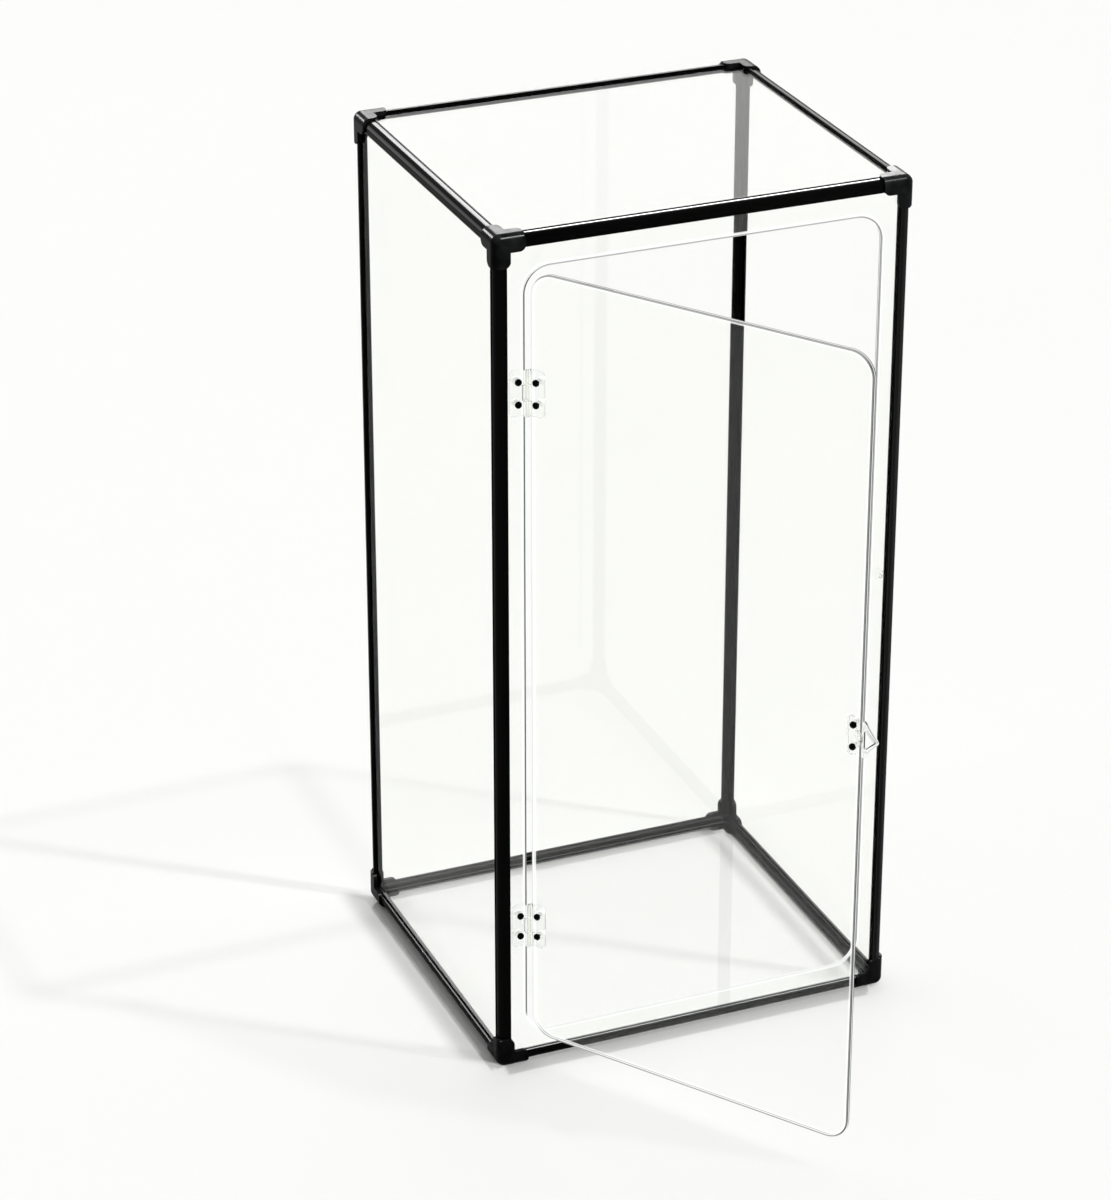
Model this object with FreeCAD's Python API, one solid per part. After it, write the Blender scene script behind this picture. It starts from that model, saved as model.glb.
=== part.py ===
import FreeCAD, Part
import os
from math import sqrt

# Overall size over the strips
width = 300.0
depth = 264.0
height = 626.0

# Clear sheet and the slotted corner strip that holds it
sheet = 3.0
sheet_edge_round = 0.3
strip_side = 8.4
strip_wall = 1.2
strip_round = 5.0
bead_radius = 0.9
slot_play = 0.1
slot_depth = 3.0
slot_end_play = 0.2
inner_wall = 0.9
inner_chamfer = 0.8
bore_start = 1.9
bore_side = 2.4

# Three-way corner connector
connector_proud = 1.8
connector_reach = 21.0
connector_lip = 1.9
connector_round = 6.0
connector_end_round = 4.5
hub_margin = 0.6
tenon_length = 12.0
tenon_play = 0.1

# Doorway cut out of the front sheet, and the door that fills it
doorway_side_margin = 21.0
doorway_bottom_margin = 22.0
doorway_top_margin = 24.0
doorway_round = 18.0
door_gap = 1.0
door_open_angle = 56.0

# Hinge leaf, knuckle and pin
leaf_height = 33.0
leaf_reach = 12.0
leaf_thick = 2.0
leaf_round = 3.0
hinge_axis_rise = 3.0
knuckle_radius = 2.6
knuckle_play = 0.4
pin_radius = 1.0
pin_play = 0.05
upper_hinge_drop = 86.0
lower_hinge_rise = 90.0

# Small machine screw and hexagon nut
screw_radius = 1.25
screw_hole_radius = 1.35
head_radius = 2.4
head_height = 1.6
head_round = 0.8
cross_length = 3.2
cross_width = 0.6
cross_depth = 0.9
nut_sides = 6
nut_flats = 5.0
nut_height = 2.0
screw_end = 0.4
hinge_screw_offset = 6.2
screw_pitch = 16.0

# Hasp latch on the free edge of the door
latch_drop = 267.0
latch_axis_rise = 3.2
latch_plate_height = 28.0
latch_plate_reach = 9.6
latch_plate_inset = 1.2
latch_plate_round = 3.5
latch_notch = 3.0
latch_screw_offset = 4.8
latch_knuckle_radius = 2.2
latch_knuckle_length = 10.0
tongue_knuckle_length = 4.4
tongue_start = 2.7
tongue_length = 14.5
tongue_base = 32.0
tongue_thick = 2.0
tongue_base_round = 1.4
tongue_tip_round = 2.5
eye_start = 4.4
eye_end = 11.6
eye_base = 15.0
eye_round = 0.7

# Keeper stud on the front sheet
keeper_offset = 7.0
keeper_base_radius = 4.0
keeper_base_thick = 1.2
keeper_radius = 1.5
keeper_height = 7.0
keeper_top_round = 0.7
keeper_hole_radius = 0.6
keeper_hole_height = 5.6

# How far a cut runs past the faces that it opens
overrun = 1.0

slot_width = sheet + slot_play
hub_side = strip_side + hub_margin
slot_floor = strip_side - slot_depth
sheet_inset = slot_floor + slot_end_play
sheet_back = strip_wall + sheet
full_turn = 360.0
third_of_turn = full_turn / 3
parallel_limit = 1e-6

X = FreeCAD.Vector(1, 0, 0)
Y = FreeCAD.Vector(0, 1, 0)
Z = FreeCAD.Vector(0, 0, 1)
corner = FreeCAD.Vector(0, 0, 0)
diagonal = X + Y + Z


def point(x, y, z):
    return FreeCAD.Vector(x, y, z)


def block(low, high):
    size = high.sub(low)
    return Part.makeBox(size.x, size.y, size.z, low)


def edges_along(shape, direction, keep=lambda spot: True):
    found = []
    for edge in shape.Edges:
        run = edge.lastVertex().Point.sub(edge.firstVertex().Point)
        if run.cross(direction).Length < parallel_limit and keep(edge.CenterOfMass):
            found.append(edge)
    return found


def rounded_block(low, high, direction, radius, keep=lambda spot: True):
    solid = block(low, high)
    return solid.makeFillet(radius, edges_along(solid, direction, keep))


def turned(shape, turns):
    result = shape.copy()
    result.rotate(corner, diagonal, turns * third_of_turn)
    return result


def mirrored(shape, right, back, top):
    result = shape
    if right:
        result = result.mirror(X * (width / 2), X)
    if back:
        result = result.mirror(Y * (depth / 2), Y)
    if top:
        result = result.mirror(Z * (height / 2), Z)
    return result


# Strip: a hollow corner with two slots at right angles, and a bead along the tip of each outer wall

def strip_face(inner_path):
    half_arc = strip_round - strip_round / sqrt(2)
    bead_middle = strip_side - bead_radius
    bead_level = strip_wall - bead_radius
    bead_start = bead_middle - sqrt(bead_radius ** 2 - bead_level ** 2)
    bead_top = bead_level - bead_radius
    path = [(strip_side, bead_level), *inner_path, (bead_level, strip_side)]
    points = [point(a, b, 0) for a, b in path]
    runs = list(zip(points, points[1:]))
    runs.append((point(strip_round, 0, 0), point(bead_start, 0, 0)))
    runs.append((point(0, bead_start, 0), point(0, strip_round, 0)))
    arcs = [
        ((bead_start, 0), (bead_middle, bead_top), (strip_side, bead_level)),
        ((bead_level, strip_side), (bead_top, bead_middle), (0, bead_start)),
        ((0, strip_round), (half_arc, half_arc), (strip_round, 0)),
    ]
    edges = [Part.LineSegment(start, end).toShape() for start, end in runs]
    edges += [Part.Arc(*[point(a, b, 0) for a, b in arc]).toShape() for arc in arcs]
    return Part.Face(Part.Wire(Part.__sortEdges__(edges)))


def slotted_face():
    inside = strip_wall + slot_width
    shelf = inside + inner_wall
    bevel = shelf + inner_chamfer
    return strip_face([
        (strip_side, strip_wall), (slot_floor, strip_wall), (slot_floor, inside),
        (strip_side, inside), (strip_side, shelf), (bevel, shelf), (shelf, bevel),
        (shelf, strip_side), (inside, strip_side), (inside, slot_floor),
        (strip_wall, slot_floor), (strip_wall, strip_side),
    ])


def strip(full_length, turns):
    length = full_length - 2 * hub_side
    solid = slotted_face().extrude(Z * length)
    bore_end = bore_start + bore_side
    bore = block(point(bore_start, bore_start, -overrun), point(bore_end, bore_end, length + overrun))
    solid = solid.cut(bore)
    solid.translate(Z * hub_side)
    return turned(solid, turns)


def strips():
    pieces = {}
    for back, depth_word in ((False, "front"), (True, "back")):
        for right, side_word in ((False, "left"), (True, "right")):
            pieces[f"post_{depth_word}_{side_word}"] = mirrored(strip(height, 0), right, back, False)
    for top, level_word in ((False, "bottom"), (True, "top")):
        for back, depth_word in ((False, "front"), (True, "back")):
            pieces[f"{level_word}_rail_{depth_word}"] = mirrored(strip(width, 1), False, back, top)
        for right, side_word in ((False, "left"), (True, "right")):
            pieces[f"{level_word}_rail_{side_word}"] = mirrored(strip(depth, 2), right, False, top)
    return pieces


# Corner connector: three L-shaped plates round a solid corner, with a tenon into each strip

def connector_plate():
    wide = strip_side + connector_lip
    low = -connector_proud
    first = block(point(low, low, low), point(connector_reach, wide, strip_wall))
    second = block(point(low, low, low), point(wide, connector_reach, strip_wall))
    plate = first.fuse(second).removeSplitter()
    ends = edges_along(plate, Z, lambda spot: max(spot.x, spot.y) > connector_reach - overrun)
    return plate.makeFillet(connector_end_round, ends)


def connector():
    low = -connector_proud
    far = connector_reach + overrun
    solid = block(corner, point(hub_side, hub_side, hub_side))
    for turns in range(3):
        solid = solid.fuse(turned(connector_plate(), turns))
    envelope = block(point(low, low, low), point(far, far, far))
    outer = []
    for direction, first, second in ((X, Y, Z), (Y, Z, X), (Z, X, Y)):
        outer += edges_along(envelope, direction, lambda spot: spot.dot(first) < 0 and spot.dot(second) < 0)
    solid = solid.common(envelope.makeFillet(connector_round, outer))
    socket = strip_face([(strip_side, strip_side)]).extrude(Z * (far - hub_side))
    socket.translate(Z * hub_side)
    sheet_slot = block(
        point(slot_floor, slot_floor, strip_wall), point(far, far, strip_wall + slot_width))
    tenon_low = bore_start + tenon_play / 2
    tenon_high = bore_start + bore_side - tenon_play / 2
    tenon = block(
        point(tenon_low, tenon_low, strip_wall),
        point(tenon_high, tenon_high, hub_side + tenon_length))
    for turns in range(3):
        solid = solid.cut(turned(socket, turns))
        solid = solid.cut(turned(sheet_slot, turns))
    for turns in range(3):
        solid = solid.fuse(turned(tenon, turns))
    return solid.removeSplitter()


def connectors():
    pieces = {}
    for top, level_word in ((False, "bottom"), (True, "top")):
        for back, depth_word in ((False, "front"), (True, "back")):
            for right, side_word in ((False, "left"), (True, "right")):
                name = f"corner_{level_word}_{depth_word}_{side_word}"
                pieces[name] = mirrored(connector(), right, back, top)
    return pieces


# Sheets, each set into the slots of the four strips round it

def plain_sheets():
    inner = sheet_back
    bottom = block(
        point(sheet_inset, sheet_inset, strip_wall),
        point(width - sheet_inset, depth - sheet_inset, inner))
    left = block(
        point(strip_wall, sheet_inset, sheet_inset),
        point(inner, depth - sheet_inset, height - sheet_inset))
    front = block(
        point(sheet_inset, strip_wall, sheet_inset),
        point(width - sheet_inset, inner, height - sheet_inset))
    return {
        "panel_bottom": bottom,
        "panel_top": mirrored(bottom, False, False, True),
        "panel_left": left,
        "panel_right": mirrored(left, True, False, False),
        "panel_back": mirrored(front, False, True, False),
        "panel_front": front,
    }


def doorway(gap, run_past):
    return rounded_block(
        point(doorway_side_margin + gap, strip_wall - run_past, doorway_bottom_margin + gap),
        point(width - doorway_side_margin - gap, sheet_back + run_past, height - doorway_top_margin - gap),
        Y, doorway_round - gap)


def softened(shape, near_doorway=lambda spot: True):
    rims = []
    for edge in shape.Edges:
        spot = edge.CenterOfMass
        on_face = min(abs(spot.y - strip_wall), abs(spot.y - sheet_back)) < parallel_limit
        if on_face and near_doorway(spot):
            rims.append(edge)
    return shape.makeFillet(sheet_edge_round, rims)


def inside_margin(spot):
    across = doorway_side_margin - overrun < spot.x < width - doorway_side_margin + overrun
    return across and doorway_bottom_margin - overrun < spot.z < height - doorway_top_margin + overrun


# Screws, nuts and their holes, along the depth axis

def screw_spots(offset):
    return [point(offset, 0, -screw_pitch / 2), point(offset, 0, screw_pitch / 2)]


def screw(spot, face, grip):
    seat = spot + Y * face
    head = Part.makeCylinder(head_radius, head_height, seat - Y * head_height, Y)
    rim = [edge for edge in head.Edges if edge.CenterOfMass.y < seat.y - head_height / 2 and edge.Closed]
    head = head.makeFillet(head_round, rim)
    for long_side, short_side in ((cross_length, cross_width), (cross_width, cross_length)):
        half = point(long_side / 2, 0, short_side / 2)
        top = seat - Y * head_height
        head = head.cut(block(top - half - Y * overrun, top + half + Y * cross_depth))
    shank = Part.makeCylinder(screw_radius, grip + nut_height + screw_end, seat, Y)
    return head.fuse(shank)


def nut(spot, face):
    corner_radius = nut_flats / sqrt(3)
    base = spot + Y * face
    flat = Part.makePolygon([
        base + FreeCAD.Rotation(Y, step * full_turn / nut_sides).multVec(Z * corner_radius)
        for step in range(nut_sides + 1)])
    body = Part.Face(flat).extrude(Y * nut_height)
    return body.cut(Part.makeCylinder(screw_radius, nut_height, base, Y))


def drilled(shape, spots, centre, start, length):
    for spot in spots:
        hole = Part.makeCylinder(screw_hole_radius, length + 2 * overrun, centre + spot + Y * (start - overrun), Y)
        shape = shape.cut(hole)
    return shape


# Hinge: the axis is the origin, the door is on the +X side, and the sheet's outer face is behind it

def knuckle(radius, bore, low, high, side, rise, link_reach, link_low, link_high):
    barrel = Part.makeCylinder(radius, high - low, Z * low, Z)
    near = min(0, side * link_reach)
    far = max(0, side * link_reach)
    link = block(point(near, link_low, low), point(far, link_high, high))
    return barrel.fuse(link).cut(Part.makeCylinder(bore, high - low, Z * low, Z))


def leaf_plate(side):
    inner_edge = side * (knuckle_radius + knuckle_play)
    outer_edge = side * leaf_reach
    half = leaf_height / 2
    return rounded_block(
        point(min(inner_edge, outer_edge), hinge_axis_rise - leaf_thick, -half),
        point(max(inner_edge, outer_edge), hinge_axis_rise, half),
        Y, leaf_round, lambda spot: abs(spot.x) > leaf_reach - leaf_round)


def hinge_leaf(side, spans, bore):
    leaf = leaf_plate(side)
    low = hinge_axis_rise - leaf_thick
    for start, end in spans:
        leaf = leaf.fuse(knuckle(
            knuckle_radius, bore, start, end, side, hinge_axis_rise,
            leaf_reach - leaf_round, low, knuckle_radius))
    leaf = leaf.cut(Part.makeCylinder(bore, leaf_height, Z * (-leaf_height / 2), Z))
    return drilled(leaf, screw_spots(side * hinge_screw_offset), corner, low, leaf_thick)


def hinge_pieces(centre):
    half = leaf_height / 2
    middle = leaf_height / 6
    gap = knuckle_play
    frame_spans = ((-half, -middle - gap / 2), (middle + gap / 2, half))
    door_spans = ((-middle + gap / 2, middle - gap / 2),)
    frame_leaf = hinge_leaf(-1, frame_spans, pin_radius)
    door_leaf = hinge_leaf(1, door_spans, pin_radius + pin_play)
    fixed = {
        "frame_leaf": frame_leaf,
        "pin": Part.makeCylinder(pin_radius, leaf_height, Z * -half, Z),
    }
    moving = {"door_leaf": door_leaf}
    for group, word, side in ((fixed, "frame", -1), (moving, "door", 1)):
        spots = screw_spots(side * hinge_screw_offset)
        face = hinge_axis_rise - leaf_thick
        group[f"{word}_screws"] = Part.makeCompound([screw(spot, face, leaf_thick + sheet) for spot in spots])
        group[f"{word}_nuts"] = Part.makeCompound([nut(spot, hinge_axis_rise + sheet) for spot in spots])
    for group in (fixed, moving):
        for shape in group.values():
            shape.translate(centre)
    return fixed, moving


# Latch: the axis is the origin, on the door's free edge, and the tongue points along +X

def latch_plate():
    low = latch_axis_rise - leaf_thick
    half = latch_plate_height / 2
    plate = rounded_block(
        point(-latch_plate_reach, low, -half), point(-latch_plate_inset, latch_axis_rise, half),
        Y, latch_plate_round)
    slot_half = tongue_knuckle_length / 2 + knuckle_play
    notch = block(
        point(-latch_notch, low - overrun, -slot_half), point(0, latch_axis_rise + overrun, slot_half))
    plate = plate.cut(notch)
    for start, end in ((-latch_knuckle_length / 2, -slot_half), (slot_half, latch_knuckle_length / 2)):
        plate = plate.fuse(knuckle(
            latch_knuckle_radius, pin_radius, start, end, -1, latch_axis_rise, latch_notch,
            0, latch_knuckle_radius))
    return drilled(plate, screw_spots(-latch_screw_offset), corner, low, leaf_thick)


def triangle(start, end, base, base_round, tip_round, thick):
    corners = [point(start, -thick / 2, -base / 2), point(end, -thick / 2, 0), point(start, -thick / 2, base / 2)]
    solid = Part.Face(Part.makePolygon(corners + corners[:1])).extrude(Y * thick)
    tip = edges_along(solid, Y, lambda spot: spot.x > (start + end) / 2)
    solid = solid.makeFillet(tip_round, tip)
    ends = edges_along(solid, Y, lambda spot: spot.x < start + base_round / 2)
    return solid.makeFillet(base_round, ends)


def latch_tongue():
    tip_to_round = tongue_tip_round * (sqrt(1 + (2 * (tongue_length - tongue_start) / tongue_base) ** 2) - 1)
    body = triangle(
        tongue_start, tongue_length + tip_to_round, tongue_base, tongue_base_round,
        tongue_tip_round, tongue_thick)
    eye = triangle(eye_start, eye_end, eye_base, eye_round, eye_round, tongue_thick + overrun)
    half = tongue_knuckle_length / 2
    barrel = knuckle(
        latch_knuckle_radius, pin_radius + pin_play, -half, half, 1, latch_axis_rise,
        (tongue_start + eye_start) / 2, -tongue_thick / 2, tongue_thick / 2)
    return body.cut(eye).fuse(barrel)


def latch_keeper():
    face = latch_axis_rise
    seat = point(keeper_offset, face, 0)
    base = Part.makeCylinder(keeper_base_radius, keeper_base_thick, seat - Y * keeper_base_thick, Y)
    stud = Part.makeCylinder(keeper_radius, keeper_height, seat - Y * keeper_height, Y)
    top = [edge for edge in stud.Edges if edge.Closed and edge.CenterOfMass.y < face - keeper_height / 2]
    stud = stud.makeFillet(keeper_top_round, top)
    cross = Part.makeCylinder(
        keeper_hole_radius, 2 * keeper_base_radius,
        seat - Y * keeper_hole_height - Z * keeper_base_radius, Z)
    return base.fuse(stud).cut(cross)


def latch_pieces(centre):
    half = latch_knuckle_length / 2
    spots = screw_spots(-latch_screw_offset)
    face = latch_axis_rise - leaf_thick
    keeper = {"latch_keeper": latch_keeper()}
    on_door = {
        "latch_plate": latch_plate(),
        "latch_pin": Part.makeCylinder(pin_radius, 2 * half, Z * -half, Z),
        "latch_screws": Part.makeCompound([screw(spot, face, leaf_thick + sheet) for spot in spots]),
        "latch_nuts": Part.makeCompound([nut(spot, latch_axis_rise + sheet) for spot in spots]),
        "latch_tongue": latch_tongue(),
    }
    for group in (keeper, on_door):
        for shape in group.values():
            shape.translate(centre)
    return keeper, on_door


# Whole cabinet, with the door swung open about its hinge axis

hinge_line = point(doorway_side_margin + door_gap / 2, strip_wall - hinge_axis_rise, 0)
hinge_heights = {
    "upper": height - doorway_top_margin - upper_hinge_drop,
    "lower": doorway_bottom_margin + lower_hinge_rise,
}
latch_centre = point(
    width - doorway_side_margin - door_gap, strip_wall - latch_axis_rise,
    height - doorway_top_margin - latch_drop)

fixed_pieces = {**strips(), **connectors(), **plain_sheets()}
door_panel = softened(doorway(door_gap, 0))
front = softened(fixed_pieces["panel_front"].cut(doorway(0, overrun)), inside_margin)
door_pieces = {}
for word, level in hinge_heights.items():
    centre = hinge_line + Z * level
    fixed, moving = hinge_pieces(centre)
    fixed_pieces.update({f"{word}_hinge_{name}": shape for name, shape in fixed.items()})
    door_pieces.update({f"{word}_hinge_{name}": shape for name, shape in moving.items()})
    front = drilled(front, screw_spots(-hinge_screw_offset), centre, hinge_axis_rise, sheet)
    door_panel = drilled(door_panel, screw_spots(hinge_screw_offset), centre, hinge_axis_rise, sheet)
keeper, on_door = latch_pieces(latch_centre)
fixed_pieces.update(keeper)
door_pieces.update(on_door)
fixed_pieces["panel_front"] = front
door_pieces["door_panel"] = drilled(
    door_panel, screw_spots(-latch_screw_offset), latch_centre, latch_axis_rise, sheet)
for shape in door_pieces.values():
    shape.rotate(hinge_line, Z, -door_open_angle)

# The origin is the middle of the cabinet's footprint, on the surface that it stands on
to_origin = point(-width / 2, -depth / 2, connector_proud)
os.makedirs("parts", exist_ok=True)
for name, shape in {**fixed_pieces, **door_pieces}.items():
    shape.translate(to_origin)
    shape.exportStep(f"parts/{name}.step")
    print(name, len(shape.Solids), shape.isValid(), round(shape.Volume, 1))
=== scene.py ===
import math
import bpy
from mathutils import Matrix, Vector


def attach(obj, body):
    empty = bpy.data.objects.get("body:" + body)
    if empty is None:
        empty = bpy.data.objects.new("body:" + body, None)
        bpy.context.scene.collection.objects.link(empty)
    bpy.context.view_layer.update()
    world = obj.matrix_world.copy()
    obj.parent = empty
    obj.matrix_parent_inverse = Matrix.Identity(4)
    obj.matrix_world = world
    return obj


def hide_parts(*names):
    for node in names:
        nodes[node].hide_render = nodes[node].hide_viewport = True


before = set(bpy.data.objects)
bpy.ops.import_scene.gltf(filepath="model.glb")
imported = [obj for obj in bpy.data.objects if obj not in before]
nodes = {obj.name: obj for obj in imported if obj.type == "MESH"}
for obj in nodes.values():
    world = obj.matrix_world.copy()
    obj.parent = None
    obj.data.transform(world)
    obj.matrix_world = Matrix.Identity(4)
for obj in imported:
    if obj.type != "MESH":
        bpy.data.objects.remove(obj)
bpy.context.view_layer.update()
bpy.ops.object.select_all(action="DESELECT")
print("frame loaded:", len(nodes), "nodes")


# shader helpers

def newMaterial(name):
    material = bpy.data.materials.new(name)
    material.use_nodes = True
    tree = material.node_tree
    tree.nodes.clear()
    return material, tree


def newGroup(name, given, wanted):
    group = bpy.data.node_groups.new(name, "ShaderNodeTree")
    for way, sockets in (("INPUT", given), ("OUTPUT", wanted)):
        for socket, kind in sockets.items():
            group.interface.new_socket(name=socket, in_out=way, socket_type="NodeSocket" + kind)
    start = addNode(group, "NodeGroupInput", (-1400, 0))
    end = addNode(group, "NodeGroupOutput", (1100, 0))
    return group, start.outputs, end.inputs


def addNode(tree, kind, place, **values):
    made = tree.nodes.new(kind)
    made.location = place
    for name, value in values.items():
        if name in made.inputs:
            made.inputs[name].default_value = value
        else:
            setattr(made, name, value)
    return made


def join(tree, start, end):
    tree.links.new(start, end)


def fill(tree, socket, value):
    # a socket takes a fixed value or another node's output
    if isinstance(value, (float, tuple)):
        socket.default_value = value
    else:
        join(tree, value, socket)


def addMath(tree, operation, place, *terms, **values):
    made = addNode(tree, "ShaderNodeMath", place, operation=operation, **values)
    for socket, term in zip(made.inputs, terms):
        fill(tree, socket, term)
    return made.outputs["Value"]


def addRange(tree, place, value, fromEnds, toEnds, **values):
    made = addNode(tree, "ShaderNodeMapRange", place, **values)
    join(tree, value, made.inputs["Value"])
    for name, end in zip(("From Min", "From Max", "To Min", "To Max"), fromEnds + toEnds):
        fill(tree, made.inputs[name], end)
    return made.outputs["Result"]


def mixColours(tree, place, factor, first, second):
    made = addNode(tree, "ShaderNodeMix", place, data_type="RGBA")
    join(tree, factor, made.inputs["Factor"])
    # the colours are the node's seventh and eighth sockets, and its third result
    fill(tree, made.inputs[6], first)
    fill(tree, made.inputs[7], second)
    return made.outputs[2]


def mixShaders(tree, place, factor, first, second):
    made = addNode(tree, "ShaderNodeMixShader", place)
    for socket, source in zip(made.inputs, (factor, first, second)):
        join(tree, source, socket)
    return made.outputs["Shader"]


# fine unevenness of a moulded or extruded skin, shared by every material

skinLook = {
    "grainDetail": 4.0, "grainRoughness": 0.6, "cloudDetail": 3.0, "cloudRoughness": 0.5, "cloudEnds": (0.35, 0.65),
}


def makeSkinGroup():
    numbers = ("Scale", "Cloud Scale", "Roughness Low", "Roughness High", "Bump", "Distance")
    group, given, wanted = newGroup(
        "skinUnevenness", {"Spot": "Vector", **dict.fromkeys(numbers, "Float")},
        {"Roughness": "Float", "Cloud": "Float", "Normal": "Vector"})
    grain = addNode(group, "ShaderNodeTexNoise", (-450, 120),
                    Detail=skinLook["grainDetail"], Roughness=skinLook["grainRoughness"])
    cloud = addNode(group, "ShaderNodeTexNoise", (-450, -160),
                    Detail=skinLook["cloudDetail"], Roughness=skinLook["cloudRoughness"])
    bump = addNode(group, "ShaderNodeBump", (-100, 160))
    spread = addRange(group, (-200, -160), cloud.outputs["Fac"], skinLook["cloudEnds"],
                      (given["Roughness Low"], given["Roughness High"]))
    for start, end in (
            (given["Spot"], grain.inputs["Vector"]), (given["Spot"], cloud.inputs["Vector"]),
            (given["Scale"], grain.inputs["Scale"]), (given["Cloud Scale"], cloud.inputs["Scale"]),
            (grain.outputs["Fac"], bump.inputs["Height"]), (given["Bump"], bump.inputs["Strength"]),
            (given["Distance"], bump.inputs["Distance"]), (spread, wanted["Roughness"]),
            (cloud.outputs["Fac"], wanted["Cloud"]), (bump.outputs["Normal"], wanted["Normal"])):
        join(group, start, end)
    return group


skinGroup = makeSkinGroup()


def addSkin(tree, look, stretch):
    # object coordinates, stretched so that the grain can run along one axis
    spot = addNode(tree, "ShaderNodeTexCoord", (-1100, 0))
    mapping = addNode(tree, "ShaderNodeMapping", (-900, 0), Scale=stretch)
    skin = addNode(tree, "ShaderNodeGroup", (-700, 0), node_tree=skinGroup)
    join(tree, spot.outputs["Object"], mapping.inputs["Vector"])
    join(tree, mapping.outputs["Vector"], skin.inputs["Spot"])
    low, high = look["rough"]
    for name, value in (("Scale", look["grain"]), ("Cloud Scale", look["cloud"]), ("Bump", look["bump"]),
                        ("Distance", look["depth"]), ("Roughness Low", low), ("Roughness High", high)):
        skin.inputs[name].default_value = value
    return skin


def addTone(tree, skin, height, colours, ends):
    tone = addNode(tree, "ShaderNodeValToRGB", (-420, height))
    for element, colour, end in zip(tone.color_ramp.elements, colours, ends):
        element.color = colour
        element.position = end
    join(tree, skin.outputs["Cloud"], tone.inputs["Fac"])
    return tone.outputs["Color"]


def addShader(tree, skin, ior, **values):
    shader = addNode(tree, "ShaderNodeBsdfPrincipled", (60, 0), IOR=ior, **values)
    join(tree, skin.outputs["Roughness"], shader.inputs["Roughness"])
    join(tree, skin.outputs["Normal"], shader.inputs["Normal"])
    return shader


def endMaterial(tree, surface):
    out = addNode(tree, "ShaderNodeOutputMaterial", (680, 0))
    join(tree, surface, out.inputs["Surface"])


evenly = (1.0, 1.0, 1.0)


def makeOpaque(name, look, stretch=evenly):
    material, tree = newMaterial(name)
    skin = addSkin(tree, look, stretch)
    shader = addShader(tree, skin, look["ior"])
    join(tree, addTone(tree, skin, 200, look["tones"], look["ends"]), shader.inputs["Base Color"])
    # a look with a glow gets painted light: an emission colour on top of its own colour
    if "glow" in look:
        join(tree, addTone(tree, skin, 480, look["glow"], look["ends"]), shader.inputs["Emission Color"])
        shader.inputs["Emission Strength"].default_value = 1.0
    endMaterial(tree, shader.outputs["BSDF"])
    return material


# black strips, corners and screws, and the nuts of pale nylon, whose glow is painted light standing in for light
# shining through them from behind

opaqueLook = {
    "strip": {"tones": ((0.0018, 0.0019, 0.0018, 1), (0.0048, 0.0050, 0.0047, 1)), "ends": (0.35, 0.65),
              "grain": 2600.0, "cloud": 60.0, "rough": (0.14, 0.22), "bump": 0.10, "depth": 0.00004, "ior": 1.06},
    "corner": {"tones": ((0.0012, 0.0013, 0.0013, 1), (0.0036, 0.0038, 0.0038, 1)), "ends": (0.35, 0.65),
               "grain": 1900.0, "cloud": 120.0, "rough": (0.16, 0.26), "bump": 0.14, "depth": 0.00004, "ior": 1.08},
    "metal": {"tones": ((0.0010, 0.0010, 0.0011, 1), (0.0030, 0.0030, 0.0031, 1)), "ends": (0.35, 0.65),
              "grain": 3800.0, "cloud": 500.0, "rough": (0.20, 0.34), "bump": 0.20, "depth": 0.00004, "ior": 1.10},
    "nylon": {"tones": ((0.50, 0.51, 0.49, 1), (0.66, 0.67, 0.65, 1)), "ends": (0.0, 1.0),
              # painted glow: an emission colour standing in for light that shines through the nylon from behind
              "glow": ((0.58, 0.59, 0.57, 1), (0.70, 0.71, 0.69, 1)),
              "grain": 2400.0, "cloud": 300.0, "rough": (0.35, 0.5), "bump": 0.1, "depth": 0.00004, "ior": 1.3},
    # the grain runs along a strip, so its pattern is stretched by this much
    "along": 0.04,
}

along = opaqueLook["along"]
stripMaterials = {
    "z": makeOpaque("blackStripUpright", opaqueLook["strip"], (1.0, 1.0, along)),
    "x": makeOpaque("blackStripWide", opaqueLook["strip"], (along, 1.0, 1.0)),
    "y": makeOpaque("blackStripDeep", opaqueLook["strip"], (1.0, along, 1.0)),
}
cornerMaterial = makeOpaque("blackCorner", opaqueLook["corner"])
metalMaterial = makeOpaque("blackScrewMetal", opaqueLook["metal"])
nutMaterial = makeOpaque("paleNylon", opaqueLook["nylon"])


# painted light along the rounded outline of a sheet: a pale band of painted glow standing in for light caught by the
# cut edge, and a fine painted dark line at each arris

# outlines of the doorway and the door in metres, with the door swung back to where it closes
rimLook = {
    "middle": (0.0, -0.1293, 0.3138), "hinge": (-0.1285, -0.1338, 0.0), "openAngle": 56.0,
    "doorway": {"Half Width": 0.129, "Half Height": 0.290, "Half Thickness": 0.0015, "Round": 0.018,
                "Left Line": 1.0, "Right Line": 0.8, "Level Line": 0.7, "Foot": 0.0},
    "door": {"Half Width": 0.128, "Half Height": 0.289, "Half Thickness": 0.0015, "Round": 0.017,
             "Left Line": 0.4, "Right Line": 1.0, "Level Line": 0.8, "Foot": 1.0},
    "band": 0.0024, "line": 0.0013, "fadeFrom": 0.7, "sideFade": 0.02, "cornerFade": 0.006,
    "paintedBandGlow": (0.80, 0.805, 0.795, 1), "paintedBandShade": (0.10, 0.10, 0.10, 1), "paintedLineShade": (0.05, 0.055, 0.05, 1),
}


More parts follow.
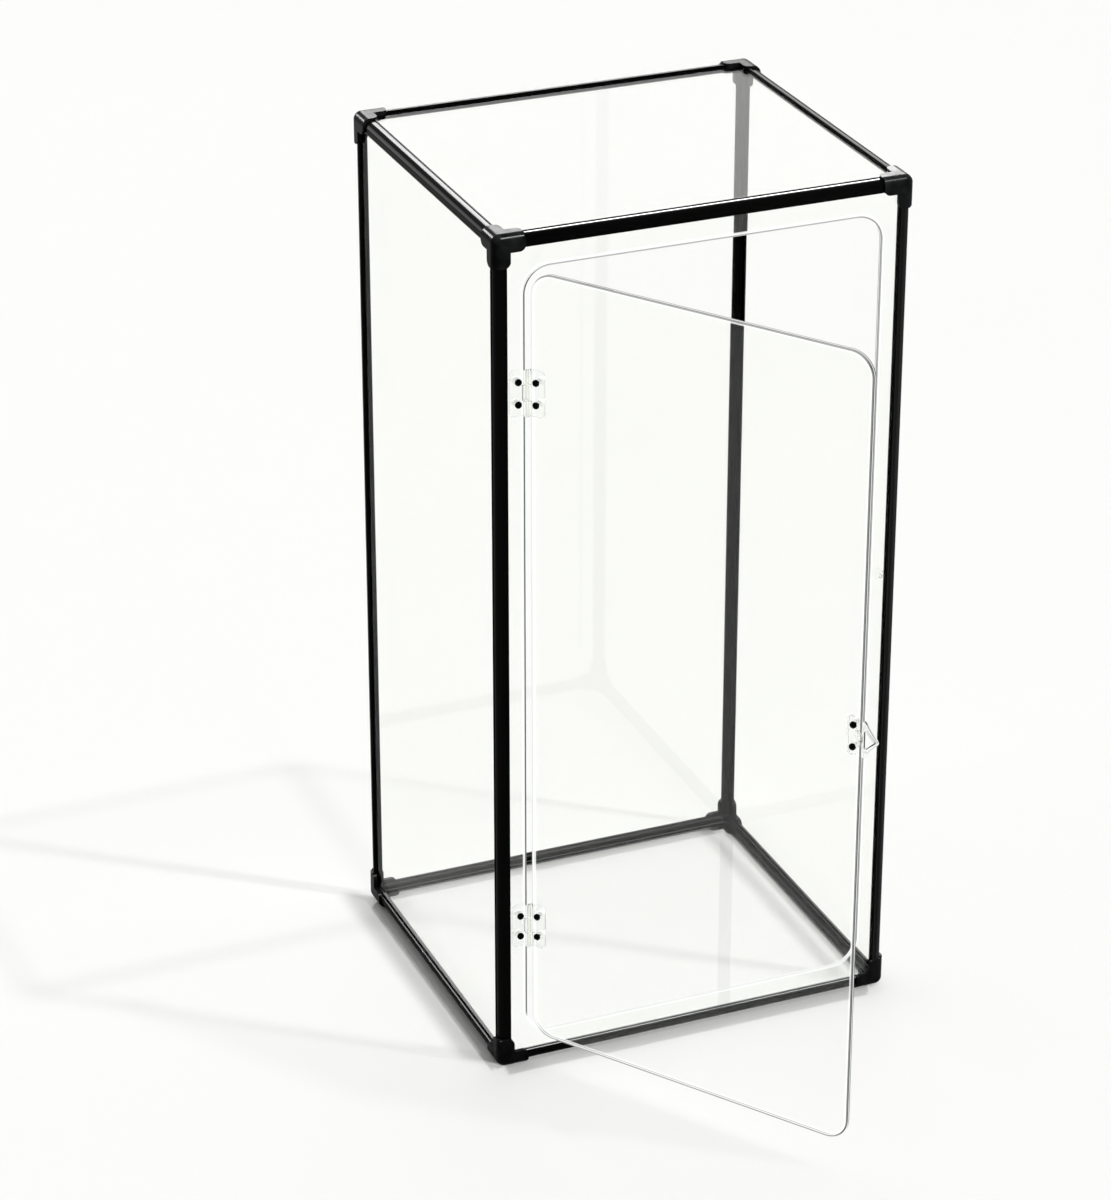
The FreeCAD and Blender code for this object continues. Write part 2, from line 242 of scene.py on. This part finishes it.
def makeRimGroup():
    numbers = ("Half Width", "Half Height", "Half Thickness", "Round", "Band Width", "Line Width",
               "Left Line", "Right Line", "Level Line", "Foot")
    group, given, wanted = newGroup(
        "paintedRimLight", {"Spot": "Vector", **dict.fromkeys(numbers, "Float")}, {"Band": "Float", "Line": "Float"})

    def maths(operation, place, *terms):
        return addMath(group, operation, place, *terms)

    apart = addNode(group, "ShaderNodeSeparateXYZ", (-1200, 200))
    join(group, given["Spot"], apart.inputs["Vector"])

    def past(axis, half, height):
        # how far a spot lies beyond the straight part of a side
        reach = maths("SUBTRACT", (-1000, height - 80), given[half], given["Round"])
        off = maths("ABSOLUTE", (-1000, height + 60), apart.outputs[axis])
        return maths("SUBTRACT", (-800, height), off, reach)

    across, upward = past("X", "Half Width", 300), past("Z", "Half Height", 60)
    beyond = addNode(group, "ShaderNodeCombineXYZ", (-400, 300))
    join(group, maths("MAXIMUM", (-600, 360), across, 0.0), beyond.inputs["X"])
    join(group, maths("MAXIMUM", (-600, 220), upward, 0.0), beyond.inputs["Y"])
    length = addNode(group, "ShaderNodeVectorMath", (-220, 300), operation="LENGTH")
    join(group, beyond.outputs["Vector"], length.inputs[0])
    within = maths("MINIMUM", (-400, 60), maths("MAXIMUM", (-600, 60), across, upward), 0.0)
    outline = maths("SUBTRACT", (120, 200), maths("ADD", (-60, 200), length.outputs["Value"], within), given["Round"])
    away = maths("ABSOLUTE", (300, 200), outline)
    inside = maths("ABSOLUTE", (-60, -100), apart.outputs["Y"])
    depth = maths("SUBTRACT", (120, -100), given["Half Thickness"], inside)
    arris = maths("MAXIMUM", (480, -100), away, depth)

    def faded(distance, width, height):
        start = maths("MULTIPLY", (480, height - 60), given[width], rimLook["fadeFrom"])
        return addRange(group, (680, height), distance, (start, given[width]), (1.0, 0.0),
                        interpolation_type="SMOOTHSTEP")

    # the painted line is stronger along the upright edges than along the level ones
    sideFade, cornerFade = rimLook["sideFade"], rimLook["cornerFade"]
    side = addRange(group, (300, -360), apart.outputs["X"], (-sideFade, sideFade),
                    (given["Left Line"], given["Right Line"]))
    upright = addRange(group, (480, -360), maths("SUBTRACT", (300, -560), across, upward),
                       (-cornerFade, cornerFade), (given["Level Line"], side))
    # the bottom edge has a weaker painted line and a narrower painted band
    down = maths("MULTIPLY", (120, -760), apart.outputs["Z"], -1.0)
    straight = maths("SUBTRACT", (-60, -760), given["Half Height"], given["Round"])
    foot = addRange(group, (480, -760), maths("SUBTRACT", (300, -760), down, straight),
                    (0.0, cornerFade), (1.0, given["Foot"]))
    narrow = maths("MULTIPLY", (560, 320), away, maths("SUBTRACT", (380, 320), 2.0, foot))
    line = maths("MULTIPLY", (780, -200), faded(arris, "Line Width", -100), upright)
    join(group, faded(narrow, "Band Width", 200), wanted["Band"])
    join(group, maths("MULTIPLY", (940, -200), line, foot), wanted["Line"])
    return group


rimGroup = makeRimGroup()


def addRim(tree, outline, openAngle):
    # the painted band and line are drawn in the sheet's own upright frame, centred on its outline
    hinge, middle = Vector(rimLook["hinge"]), Vector(rimLook["middle"])
    angle = math.radians(openAngle)
    turn = Matrix.Rotation(angle, 3, "Z")
    spot = addNode(tree, "ShaderNodeTexCoord", (-1100, 620))
    mapping = addNode(tree, "ShaderNodeMapping", (-920, 620),
                      Rotation=(0.0, 0.0, angle), Location=hinge - turn @ hinge - middle)
    rim = addNode(tree, "ShaderNodeGroup", (-700, 620), node_tree=rimGroup)
    join(tree, spot.outputs["Object"], mapping.inputs["Vector"])
    join(tree, mapping.outputs["Vector"], rim.inputs["Spot"])
    for name, value in {**outline, "Band Width": rimLook["band"], "Line Width": rimLook["line"]}.items():
        rim.inputs[name].default_value = value
    return rim.outputs["Band"], rim.outputs["Line"]


# clear acrylic sheets and fittings

clearLook = {
    "tones": ((0.968, 0.977, 0.957, 1), (0.991, 0.996, 0.982, 1)), "ends": (0.0, 0.45), "grain": 240.0, "cloud": 9.0,
    "rough": (0.0, 0.012), "bump": 0.02, "depth": 0.00002, "shadow": (0.995, 0.996, 0.995, 1),
}
# one clear acrylic in several copies: each sheet's index of refraction is set for how strong its reflections should
# look, so these are lit and shaded copies, and the bottom sheet's lighter tint is painted light on the floor seen
# through it
acrylicLook = {
    "sheet": {**clearLook, "ior": 1.42},
    "top": {**clearLook, "ior": 1.40},
    "side": {**clearLook, "ior": 1.07},
    "door": {**clearLook, "ior": 1.33},
    "floor": {**clearLook, "tones": ((0.986, 0.993, 0.980, 1), (0.999, 1.0, 0.994, 1)), "rough": (0.0, 0.02),
              "ior": 1.28, "shadow": (0.993, 0.996, 0.994, 1)},
    "fitting": {**clearLook, "tones": ((0.93, 0.945, 0.935, 1), (0.97, 0.98, 0.975, 1)), "rough": (0.02, 0.06),
                "bump": 0.05, "cloud": 160.0, "ior": 1.12, "shadow": (0.93, 0.935, 0.93, 1)},
    "pin": {**clearLook, "tones": ((0.80, 0.80, 0.70, 1), (0.93, 0.93, 0.87, 1)), "rough": (0.03, 0.08),
            "bump": 0.05, "cloud": 400.0, "ior": 1.16, "shadow": (0.9, 0.9, 0.85, 1)},
    # how steeply the loss of shadow light sets in towards a grazing angle
    "grazing": 8.0,
}


def makeAcrylic(name, look, outline=None, openAngle=0.0):
    material, tree = newMaterial(name)
    skin = addSkin(tree, look, evenly)
    shader = addShader(tree, skin, look["ior"], **{"Transmission Weight": 1.0})
    colour = addTone(tree, skin, 220, look["tones"], look["ends"])
    if outline:
        band, line = addRim(tree, outline, openAngle)
        # painted light: the band darkens what shows through it and glows by emission, and the line paints a dark arris
        pale = addMath(tree, "SUBTRACT", (-480, 560), band, line, use_clamp=True)
        glow = mixColours(tree, (-260, 520), pale, (0.0, 0.0, 0.0, 1.0), rimLook["paintedBandGlow"])
        colour = mixColours(tree, (-420, 380), band, colour, rimLook["paintedBandShade"])
        colour = mixColours(tree, (-260, 220), line, colour, rimLook["paintedLineShade"])
        join(tree, glow, shader.inputs["Emission Color"])
        shader.inputs["Emission Strength"].default_value = 1.0
    join(tree, colour, shader.inputs["Base Color"])
    # shadow and diffuse light passes straight through, less of it where it grazes the surface
    clear = addNode(tree, "ShaderNodeBsdfTransparent", (60, -420), Color=look["shadow"])
    dull = addNode(tree, "ShaderNodeBsdfDiffuse", (60, -560))
    graze = addNode(tree, "ShaderNodeLayerWeight", (-300, -620))
    steep = addMath(tree, "POWER", (-120, -620), graze.outputs["Facing"], acrylicLook["grazing"])
    passing = mixShaders(tree, (260, -420), steep, clear.outputs["BSDF"], dull.outputs["BSDF"])
    path = addNode(tree, "ShaderNodeLightPath", (60, 420))
    straight = addMath(tree, "MAXIMUM", (260, 260), path.outputs["Is Shadow Ray"], path.outputs["Is Diffuse Ray"])
    endMaterial(tree, mixShaders(tree, (460, 0), straight, shader.outputs["BSDF"], passing))
    return material


sideMaterial = makeAcrylic("clearSideSheet", acrylicLook["side"])
sheetMaterials = {
    "panel_top": makeAcrylic("clearTopSheet", acrylicLook["top"]),
    "panel_back": makeAcrylic("clearSheet", acrylicLook["sheet"]),
    "panel_left": sideMaterial,
    "panel_right": sideMaterial,
    "panel_bottom": makeAcrylic("clearBottomSheet", acrylicLook["floor"]),
    "panel_front": makeAcrylic("clearDoorwaySheet", acrylicLook["sheet"], rimLook["doorway"]),
    "door_panel": makeAcrylic("clearDoorSheet", acrylicLook["door"], rimLook["door"], rimLook["openAngle"]),
}
fittingMaterial = makeAcrylic("clearFitting", acrylicLook["fitting"])
pinMaterial = makeAcrylic("clearPin", acrylicLook["pin"])


def dress(piece, material):
    piece.data.materials.clear()
    piece.data.materials.append(material)


for name, piece in nodes.items():
    if name.startswith("post_"):
        dress(piece, stripMaterials["z"])
    elif "_rail_" in name:
        dress(piece, stripMaterials["x" if name.endswith(("front", "back")) else "y"])
    elif name.startswith("corner_"):
        dress(piece, cornerMaterial)
    elif name in sheetMaterials:
        dress(piece, sheetMaterials[name])
    elif name.endswith("_screws"):
        dress(piece, metalMaterial)
    elif name.endswith("_nuts"):
        dress(piece, nutMaterial)
    elif name.endswith("_pin"):
        dress(piece, pinMaterial)
    else:
        dress(piece, fittingMaterial)
print("materials done")


# clear fittings: the solid's form with eased edges, a hair smaller, so that air stays between it and the sheet

fittingLook = {
    "shrink": 0.00004, "merge": 0.000002, "ease": 0.00022, "easeSteps": 2, "easeAngle": 40.0, "smoothAngle": 35.0,
    "pieces": {
        "upper_hinge_frame_leaf": "cabinet", "lower_hinge_frame_leaf": "cabinet",
        "upper_hinge_pin": "cabinet", "lower_hinge_pin": "cabinet", "latch_keeper": "cabinet",
        "upper_hinge_door_leaf": "door", "lower_hinge_door_leaf": "door",
        "latch_plate": "door", "latch_pin": "door", "latch_tongue": "tongue",
        "upper_hinge_frame_nuts": "cabinet", "lower_hinge_frame_nuts": "cabinet",
        "upper_hinge_door_nuts": "door", "lower_hinge_door_nuts": "door", "latch_nuts": "door",
    },
}


def makeFitting(name, body):
    mesh = nodes[name].data.copy()
    piece = bpy.data.objects.new(name + "_clear", mesh)
    bpy.context.scene.collection.objects.link(piece)
    bpy.context.view_layer.objects.active = piece
    piece.select_set(True)
    bpy.ops.object.mode_set(mode="EDIT")
    bpy.ops.mesh.select_all(action="SELECT")
    bpy.ops.mesh.remove_doubles(threshold=fittingLook["merge"])
    bpy.ops.mesh.normals_make_consistent(inside=False)
    bpy.ops.transform.shrink_fatten(value=-fittingLook["shrink"])
    bpy.ops.object.mode_set(mode="OBJECT")
    ease = piece.modifiers.new("ease", "BEVEL")
    ease.width, ease.segments = fittingLook["ease"], fittingLook["easeSteps"]
    ease.limit_method, ease.angle_limit = "ANGLE", math.radians(fittingLook["easeAngle"])
    bpy.ops.object.modifier_apply(modifier="ease")
    bpy.ops.object.shade_smooth_by_angle(angle=math.radians(fittingLook["smoothAngle"]))
    piece.select_set(False)
    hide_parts(name)
    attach(piece, body)


for name, body in fittingLook["pieces"].items():
    makeFitting(name, body)
print("fittings done")


# floor

floorLook = {
    "size": 14.0, "tones": ((0.80, 0.80, 0.793, 1), (0.82, 0.82, 0.815, 1)), "ends": (0.0, 1.0),
    "grain": 300.0, "cloud": 1.5, "rough": (0.5, 0.6), "bump": 0.02, "depth": 0.0001, "ior": 1.5,
}


def makeFloor():
    bpy.ops.mesh.primitive_plane_add(size=floorLook["size"], location=(0, 0, 0))
    floor = bpy.context.object
    floor.name = "floor"
    dress(floor, makeOpaque("paleFloor", floorLook))


makeFloor()
print("floor done")


# studio light: a pale sky that is brighter behind

skyLook = {
    "front": 0.05, "back": 1.05, "below": 0.9, "depthEnds": (-0.25, 0.85), "horizonEnds": (-0.02, 0.06),
    "seen": 0.95, "colour": (1.0, 1.0, 0.99, 1),
}


def makeSky():
    world = bpy.data.worlds.new("studio")
    bpy.context.scene.world = world
    world.use_nodes = True
    tree = world.node_tree
    tree.nodes.clear()
    spot = addNode(tree, "ShaderNodeTexCoord", (-900, 0))
    apart = addNode(tree, "ShaderNodeSeparateXYZ", (-700, 0))
    join(tree, spot.outputs["Generated"], apart.inputs["Vector"])
    depthWise = addRange(tree, (-450, 200), apart.outputs["Y"], skyLook["depthEnds"],
                         (skyLook["front"], skyLook["back"]), interpolation_type="SMOOTHSTEP")
    overhead = addRange(tree, (-450, -100), apart.outputs["Z"], skyLook["horizonEnds"], (0.0, 1.0),
                        interpolation_type="SMOOTHSTEP")
    level = addNode(tree, "ShaderNodeMix", (-200, 0), data_type="FLOAT", A=skyLook["below"])
    join(tree, overhead, level.inputs["Factor"])
    join(tree, depthWise, level.inputs["B"])
    path = addNode(tree, "ShaderNodeLightPath", (-200, 320))
    seen = addNode(tree, "ShaderNodeMix", (40, 0), data_type="FLOAT", B=skyLook["seen"])
    join(tree, path.outputs["Is Camera Ray"], seen.inputs["Factor"])
    join(tree, level.outputs["Result"], seen.inputs["A"])
    back = addNode(tree, "ShaderNodeBackground", (260, 0), Color=skyLook["colour"])
    join(tree, seen.outputs["Result"], back.inputs["Strength"])
    out = addNode(tree, "ShaderNodeOutputWorld", (460, 0))
    join(tree, back.outputs["Background"], out.inputs["Surface"])


def collect(name, starts):
    chosen = bpy.data.collections.new(name)
    for node, piece in nodes.items():
        if node.startswith(starts):
            chosen.objects.link(piece)
    return chosen


# three soft suns, of which two take their shadows from a few pieces only

sunLook = {
    "key": {"from": (0.394, -0.308, 0.866), "angle": 2.0, "strength": 0.52},
    "behind": {"from": (0.45, 0.62, 0.64), "angle": 5.0, "strength": 1.45, "blockers": ("bottom_rail_",)},
    "above": {"from": (0.031, -0.026, 0.999), "angle": 1.3, "strength": 1.32,
              "blockers": ("panel_left", "bottom_rail_left", "bottom_rail_right", "top_rail_left", "top_rail_right")},
}


def makeSun(name, look):
    lamp = bpy.data.lights.new(name, "SUN")
    lamp.energy = look["strength"]
    lamp.angle = math.radians(look["angle"])
    sun = bpy.data.objects.new(name, lamp)
    sun.rotation_euler = Vector(look["from"]).to_track_quat("Z", "Y").to_euler()
    sun.visible_glossy = False
    sun.visible_transmission = False
    bpy.context.scene.collection.objects.link(sun)
    if "blockers" in look:
        sun.light_linking.blocker_collection = collect(name + "Blockers", look["blockers"])


# panels that only the named black pieces catch, for their highlights

behindRight = {"place": (1.03, 2.50, 1.95), "size": (1.7, 0.75)}
panelLook = {
    "leftRailPanel": {**behindRight, "on": ("top_rail_left",), "glow": 58.0},
    "stripPanel": {**behindRight, "on": ("post_", "bottom_rail_", "top_rail_back"), "glow": 72.0},
    "frontRailPanel": {**behindRight, "on": ("top_rail_front",), "glow": 170.0},
    "rightRailPanel": {**behindRight, "on": ("top_rail_right",), "size": (1.9, 1.0), "glow": 17.0},
    "cornerPanel": {**behindRight, "on": ("corner_bottom_", "corner_top_front_left", "corner_top_back_"), "glow": 24.0},
    "frontCornerPanel": {**behindRight, "on": ("corner_top_front_right",), "glow": 36.0},
    "cornerGlint": {"on": ("corner_",), "place": (0.86, -1.10, 2.70), "size": (0.5, 0.5), "glow": 420.0},
    "cornerSide": {"on": ("corner_",), "place": (-1.10, 2.08, 1.48), "size": (0.5, 0.5), "glow": 90.0},
    "railSide": {"on": ("top_rail_left",), "place": (-1.40, 2.08, 0.83), "size": (1.0, 1.0), "glow": 9.0},
    "postSheen": {"on": ("post_front_right",), "place": (2.01, -1.03, -1.10), "size": (1.8, 1.2), "glow": 38.0,
                  "through": True},
    "railSheen": {"on": ("bottom_rail_back",), "place": (0.86, -2.08, -1.10), "size": (1.2, 1.2), "glow": 190.0,
                  "through": True},
    "lipLine": {**behindRight, "on": ("bottom_rail_front",), "glow": 170.0, "through": True},
    "leftLipLine": {**behindRight, "on": ("bottom_rail_left",), "glow": 75.0, "through": True},
}
panelAim = (0.0, 0.0, 0.63)


def makePanel(name, look):
    wide, tall = look["size"]
    lamp = bpy.data.lights.new(name, "AREA")
    lamp.shape = "RECTANGLE"
    lamp.size, lamp.size_y = wide, tall
    lamp.energy = look["glow"] * math.pi * wide * tall
    place = Vector(look["place"])
    panel = bpy.data.objects.new(name, lamp)
    panel.location = place
    panel.rotation_euler = (place - Vector(panelAim)).to_track_quat("Z", "Y").to_euler()
    panel.visible_camera = False
    bpy.context.scene.collection.objects.link(panel)
    reached = collect(name + "Pieces", look["on"])
    panel.light_linking.receiver_collection = reached
    if look.get("through"):
        # light thrown back by the floor or the sheets, so they don't stop it
        panel.light_linking.blocker_collection = reached


makeSky()
for name, look in sunLook.items():
    makeSun(name, look)
for name, look in panelLook.items():
    makePanel(name, look)
bpy.context.scene.view_settings.view_transform = "Standard"
print("light done")


# camera, fitted to the edges of the frame and the door in the photograph

cameraLook = {
    "focalPixels": 4182.6, "longSide": 1200, "sensor": 36.0, "clip": (0.1, 60.0),
    "yaw": 22.477, "pitch": 26.116,
    "centre": (0.0, 0.0, 0.3148), "offset": (0.16395, 0.09881, 9.95794), "unit": 0.3,
}


def makeCamera():
    yaw, pitch = math.radians(cameraLook["yaw"]), math.radians(cameraLook["pitch"])
    ahead = Vector((math.sin(yaw) * math.cos(pitch), math.cos(yaw) * math.cos(pitch), -math.sin(pitch)))
    right = Vector((math.cos(yaw), -math.sin(yaw), 0))
    up = right.cross(ahead)
    # the offset is the cabinet's centre as the camera sees it, in cabinet widths
    across, above, away = [value * cameraLook["unit"] for value in cameraLook["offset"]]
    place = Vector(cameraLook["centre"]) - right * across - up * above - ahead * away
    camera = bpy.data.cameras.new("camera")
    camera.sensor_width = cameraLook["sensor"]
    camera.lens = cameraLook["sensor"] * cameraLook["focalPixels"] / cameraLook["longSide"]
    camera.clip_start, camera.clip_end = cameraLook["clip"]
    viewer = bpy.data.objects.new("camera", camera)
    viewer.matrix_world = Matrix((
        (right.x, up.x, -ahead.x, place.x),
        (right.y, up.y, -ahead.y, place.y),
        (right.z, up.z, -ahead.z, place.z),
        (0, 0, 0, 1)))
    bpy.context.scene.collection.objects.link(viewer)
    bpy.context.scene.camera = viewer


makeCamera()
print("camera done")
